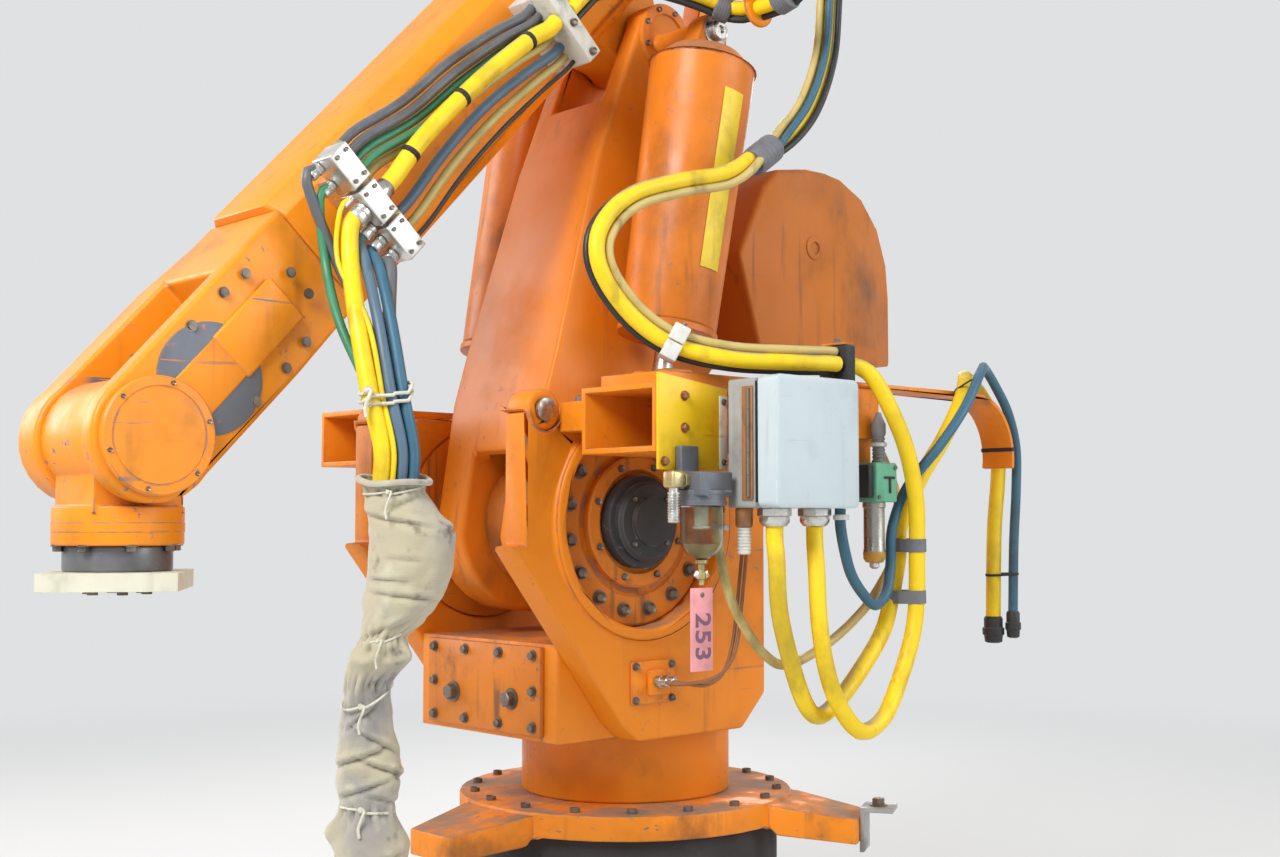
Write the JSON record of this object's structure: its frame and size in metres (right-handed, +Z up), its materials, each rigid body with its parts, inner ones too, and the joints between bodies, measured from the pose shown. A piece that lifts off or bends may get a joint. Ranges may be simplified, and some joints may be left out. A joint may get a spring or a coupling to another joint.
{
  "type": "industrial robot arm",
  "caption": "Floor-mounted industrial robot arm with parallelogram drive, counterweight, balancing cylinders and a hanging hose bundle.",
  "frame": {"origin": "on the floor under the foot, where the vertical turning axis meets it", "axes": "+X straight ahead of the arm, +Y to its left, the side with the service equipment, +Z up"},
  "size_m": [1.8511, 1.1506, 2.3955],
  "materials": {
    "orange_paint": "orange machine paint, dusty and scuffed",
    "machined_steel": "bare turned and milled steel",
    "grey_paint": "light grey enamel",
    "dark_casting": "dark casting with dried oil and dust",
    "aluminium": "bare cast and milled aluminium",
    "yellow_paint": "golden yellow paint",
    "yellow_jacket": "yellow cable jacket",
    "blue_jacket": "dark blue hose",
    "tan_jacket": "tan air hose",
    "black_rubber": "black jackets, tape and rubber",
    "canvas_sleeve": "dusty olive brown canvas",
    "clear_bowl": "clear moulded bowl",
    "pink_tag": "pink tag",
    "green_valve": "green painted valve body",
    "galvanised": "galvanised steel"
  },
  "bodies": {
    "base": {"base_foot": "dark_casting", "base_pedestal": "dark_casting", "base_ring": "orange_paint", "tie_down_bracket": "galvanised"},
    "turning_frame": {"frame_floor": "orange_paint", "front_cover_plate": "orange_paint", "turning_motor": "dark_casting", "cheek_left": "orange_paint", "cheek_right": "orange_paint", "drive_flange_left": "orange_paint", "drive_flange_right": "orange_paint", "drive_motor_left": "dark_casting", "drive_motor_right": "dark_casting", "fork_pocket_left": "orange_paint", "fork_pocket_right": "orange_paint", "equipment_bracket": "orange_paint", "cable_saddle": "orange_paint", "cable_clip": "black_rubber", "control_box": "grey_paint", "control_box_door": "grey_paint", "cable_gland_1": "aluminium", "cable_gland_2": "aluminium", "filter_plate": "yellow_paint", "filter_head": "dark_casting", "filter_bowl": "clear_bowl", "tag": "pink_tag", "green_valve": "green_valve", "lubricator": "machined_steel", "supply_cable": "yellow_jacket", "loop_cable": "yellow_jacket", "blue_hose": "blue_jacket", "tan_hose": "tan_jacket", "harness": "black_rubber"},
    "lower_arm": {"lower_arm": "orange_paint"},
    "elbow_shaft": {"elbow_shaft": "machined_steel"},
    "balance_cylinder_left": {"balance_cylinder_left": "orange_paint"},
    "balance_cylinder_right": {"balance_cylinder_right": "orange_paint"},
    "balance_rod_left": {"balance_rod_left": "machined_steel"},
    "balance_rod_right": {"balance_rod_right": "machined_steel"},
    "parallel_arm": {"parallel_arm": "orange_paint", "counterweight_left": "orange_paint", "counterweight_right": "orange_paint"},
    "link_pin": {"link_pin": "machined_steel"},
    "tie_rod": {"tie_rod": "orange_paint"},
    "upper_arm": {"upper_arm": "orange_paint", "wrist_motor_1": "dark_casting", "wrist_motor_2": "dark_casting", "manifold": "aluminium", "rear_clamp": "aluminium", "elbow_cable": "black_rubber", "pack_cable": "yellow_jacket", "pack_hoses": "black_rubber"},
    "forearm": {"forearm": "orange_paint", "wrist_cap_near": "orange_paint", "wrist_cap_far": "orange_paint"},
    "wrist": {"wrist": "orange_paint"},
    "tool_flange": {"turning_disc": "grey_paint", "tool_plate": "machined_steel"},
    "hose_bundle": {"hanging_hoses": "black_rubber", "canvas_sleeve": "canvas_sleeve"}
  },
  "joints": [
    {"name": "axis_1", "type": "hinge", "parent": "base", "child": "turning_frame", "pos_m": [0, 0, 0.39], "axis": [0, 0, 1], "range_deg": [-180, 180]},
    {"name": "axis_2", "type": "hinge", "parent": "turning_frame", "child": "lower_arm", "pos_m": [0.188, 0, 0.9], "axis": [0, -1, 0], "range_deg": [-81, 3], "deforming": ["harness"]},
    {"name": "elbow_pivot", "type": "hinge", "parent": "lower_arm", "child": "elbow_shaft", "pos_m": [0.00673, 0, 1.83255], "axis": [0, -1, 0], "range_deg": [-3, 81]},
    {"name": "axis_3", "type": "hinge", "parent": "elbow_shaft", "child": "upper_arm", "pos_m": [0.00673, 0, 1.83255], "axis": [0, -1, 0], "range_deg": [-2, 60]},
    {"name": "axis_4", "type": "hinge", "parent": "upper_arm", "child": "forearm", "pos_m": [0.153, 0, 1.96895], "axis": [0.682, 0, -0.7314], "range_deg": [-300, 300]},
    {"name": "axis_5", "type": "hinge", "parent": "forearm", "child": "wrist", "pos_m": [1.03278, 0, 1.0255], "axis": [0, 1, 0], "range_deg": [-131, 45]},
    {"name": "axis_6", "type": "hinge", "parent": "wrist", "child": "tool_flange", "pos_m": [1.03278, 0, 1.0255], "axis": [0, 0, -1], "range_deg": [-300, 300]},
    {"name": "parallel_crank", "type": "hinge", "parent": "turning_frame", "child": "parallel_arm", "pos_m": [0.188, 0, 0.9], "axis": [0, -1, 0], "range_deg": [-2, 60]},
    {"name": "link_pin_pivot", "type": "hinge", "parent": "parallel_arm", "child": "link_pin", "pos_m": [-0.0507, 0, 1.15597], "axis": [0, -1, 0], "range_deg": [-60, 2]},
    {"name": "tie_rod_pivot", "type": "hinge", "parent": "link_pin", "child": "tie_rod", "pos_m": [-0.0507, 0, 1.15597], "axis": [0, -1, 0], "range_deg": [-81, 3]},
    {"name": "balance_cylinder_pivot_left", "type": "hinge", "parent": "lower_arm", "child": "balance_cylinder_left", "pos_m": [0.01055, 0.238, 1.81291], "axis": [0, -1, 0], "range_deg": [-16.2, 0.6]},
    {"name": "balance_rod_pivot_left", "type": "hinge", "parent": "turning_frame", "child": "balance_rod_left", "pos_m": [0.133, 0.238, 1.14], "axis": [0, -1, 0], "range_deg": [-97.2, 3.6]},
    {"name": "balance_cylinder_pivot_right", "type": "hinge", "parent": "lower_arm", "child": "balance_cylinder_right", "pos_m": [0.01055, -0.238, 1.81291], "axis": [0, -1, 0], "range_deg": [-16.2, 0.6]},
    {"name": "balance_rod_pivot_right", "type": "hinge", "parent": "turning_frame", "child": "balance_rod_right", "pos_m": [0.133, -0.238, 1.14], "axis": [0, -1, 0], "range_deg": [-97.2, 3.6]},
    {"name": "hose_swing", "type": "hinge", "parent": "upper_arm", "child": "hose_bundle", "pos_m": [0.755, 0.2, 1.36], "axis": [0, -1, 0], "range_deg": [-60, 2], "deforming": ["hanging_hoses", "canvas_sleeve"]}
  ],
  "couplings": [
    {"joint": "elbow_pivot", "follows": "axis_2", "ratio": -1},
    {"joint": "parallel_crank", "follows": "axis_3", "ratio": 1},
    {"joint": "link_pin_pivot", "follows": "axis_3", "ratio": -1},
    {"joint": "tie_rod_pivot", "follows": "axis_2", "ratio": 1},
    {"joint": "balance_cylinder_pivot_left", "follows": "axis_2", "ratio": 0.2},
    {"joint": "balance_rod_pivot_left", "follows": "axis_2", "ratio": 1.2},
    {"joint": "balance_cylinder_pivot_right", "follows": "axis_2", "ratio": 0.2},
    {"joint": "balance_rod_pivot_right", "follows": "axis_2", "ratio": 1.2},
    {"joint": "hose_swing", "follows": "axis_3", "ratio": -1}
  ]
}
